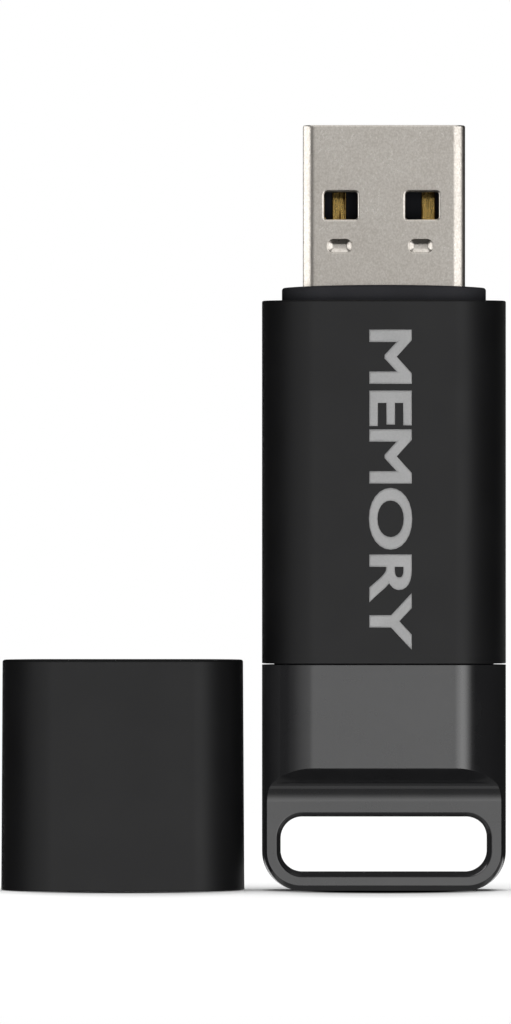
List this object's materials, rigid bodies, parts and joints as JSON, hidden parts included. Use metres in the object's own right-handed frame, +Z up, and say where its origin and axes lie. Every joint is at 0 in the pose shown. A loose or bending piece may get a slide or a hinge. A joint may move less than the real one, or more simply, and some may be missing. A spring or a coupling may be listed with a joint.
{
  "type": "usb flash drive",
  "caption": "Slim upright flash drive with a metal plug, a loop in its tail for a key ring and a separate push-on cap standing beside it.",
  "frame": {"origin": "centre of the flat base of the drive's tail, which it stands on", "axes": "+X to the right seen from the front, the cap stands on the -X side; +Y away from the viewer, the front face looks along -Y; +Z up along the plug"},
  "size_m": [0.0373, 0.009, 0.0566],
  "materials": {
    "satin_black_plastic": "satin",
    "gloss_grey_plastic": "gloss",
    "matt_black_plastic": "matt",
    "natural_plastic": "satin",
    "dark_plug_plastic": "satin",
    "plug_sheet_steel": "nickel plated",
    "gold_contact": "gold plated",
    "circuit_board_laminate": "solder mask",
    "black_epoxy": "moulded",
    "plated_steel": "plated",
    "ceramic": "fired",
    "ferrite": "fired",
    "resistor_body": "coated"
  },
  "bodies": {
    "drive": {"housing_sleeve": "satin_black_plastic", "tail_loop": "gloss_grey_plastic", "front_collar": "matt_black_plastic", "carrier_front": "natural_plastic", "carrier_back": "natural_plastic", "plug_shell": "plug_sheet_steel", "plug_insulator": "dark_plug_plastic", "contact_power": "gold_contact", "contact_data_minus": "gold_contact", "contact_data_plus": "gold_contact", "contact_ground": "gold_contact", "circuit_board": "circuit_board_laminate", "flash_memory_front": "black_epoxy", "controller_chip": "black_epoxy", "clock_crystal": "plated_steel", "voltage_regulator": "black_epoxy", "capacitor_core": "ceramic", "capacitor_clock": "ceramic", "resistor_data_minus": "resistor_body", "resistor_data_plus": "resistor_body", "flash_memory_back": "black_epoxy", "surge_protector": "black_epoxy", "ferrite_bead": "ferrite", "capacitor_bulk": "ceramic", "capacitor_input": "ceramic", "capacitor_flash": "ceramic", "capacitor_output": "ceramic", "resistor_ready": "resistor_body", "resistor_enable": "resistor_body"},
    "cap": {"cap_shell": "satin_black_plastic", "cap_liner": "natural_plastic"}
  },
  "joints": [
    {"name": "cap_lift", "type": "slide", "parent": "drive", "child": "cap", "axis": [0, 0, 1], "range_m": [0, 0.06]}
  ]
}
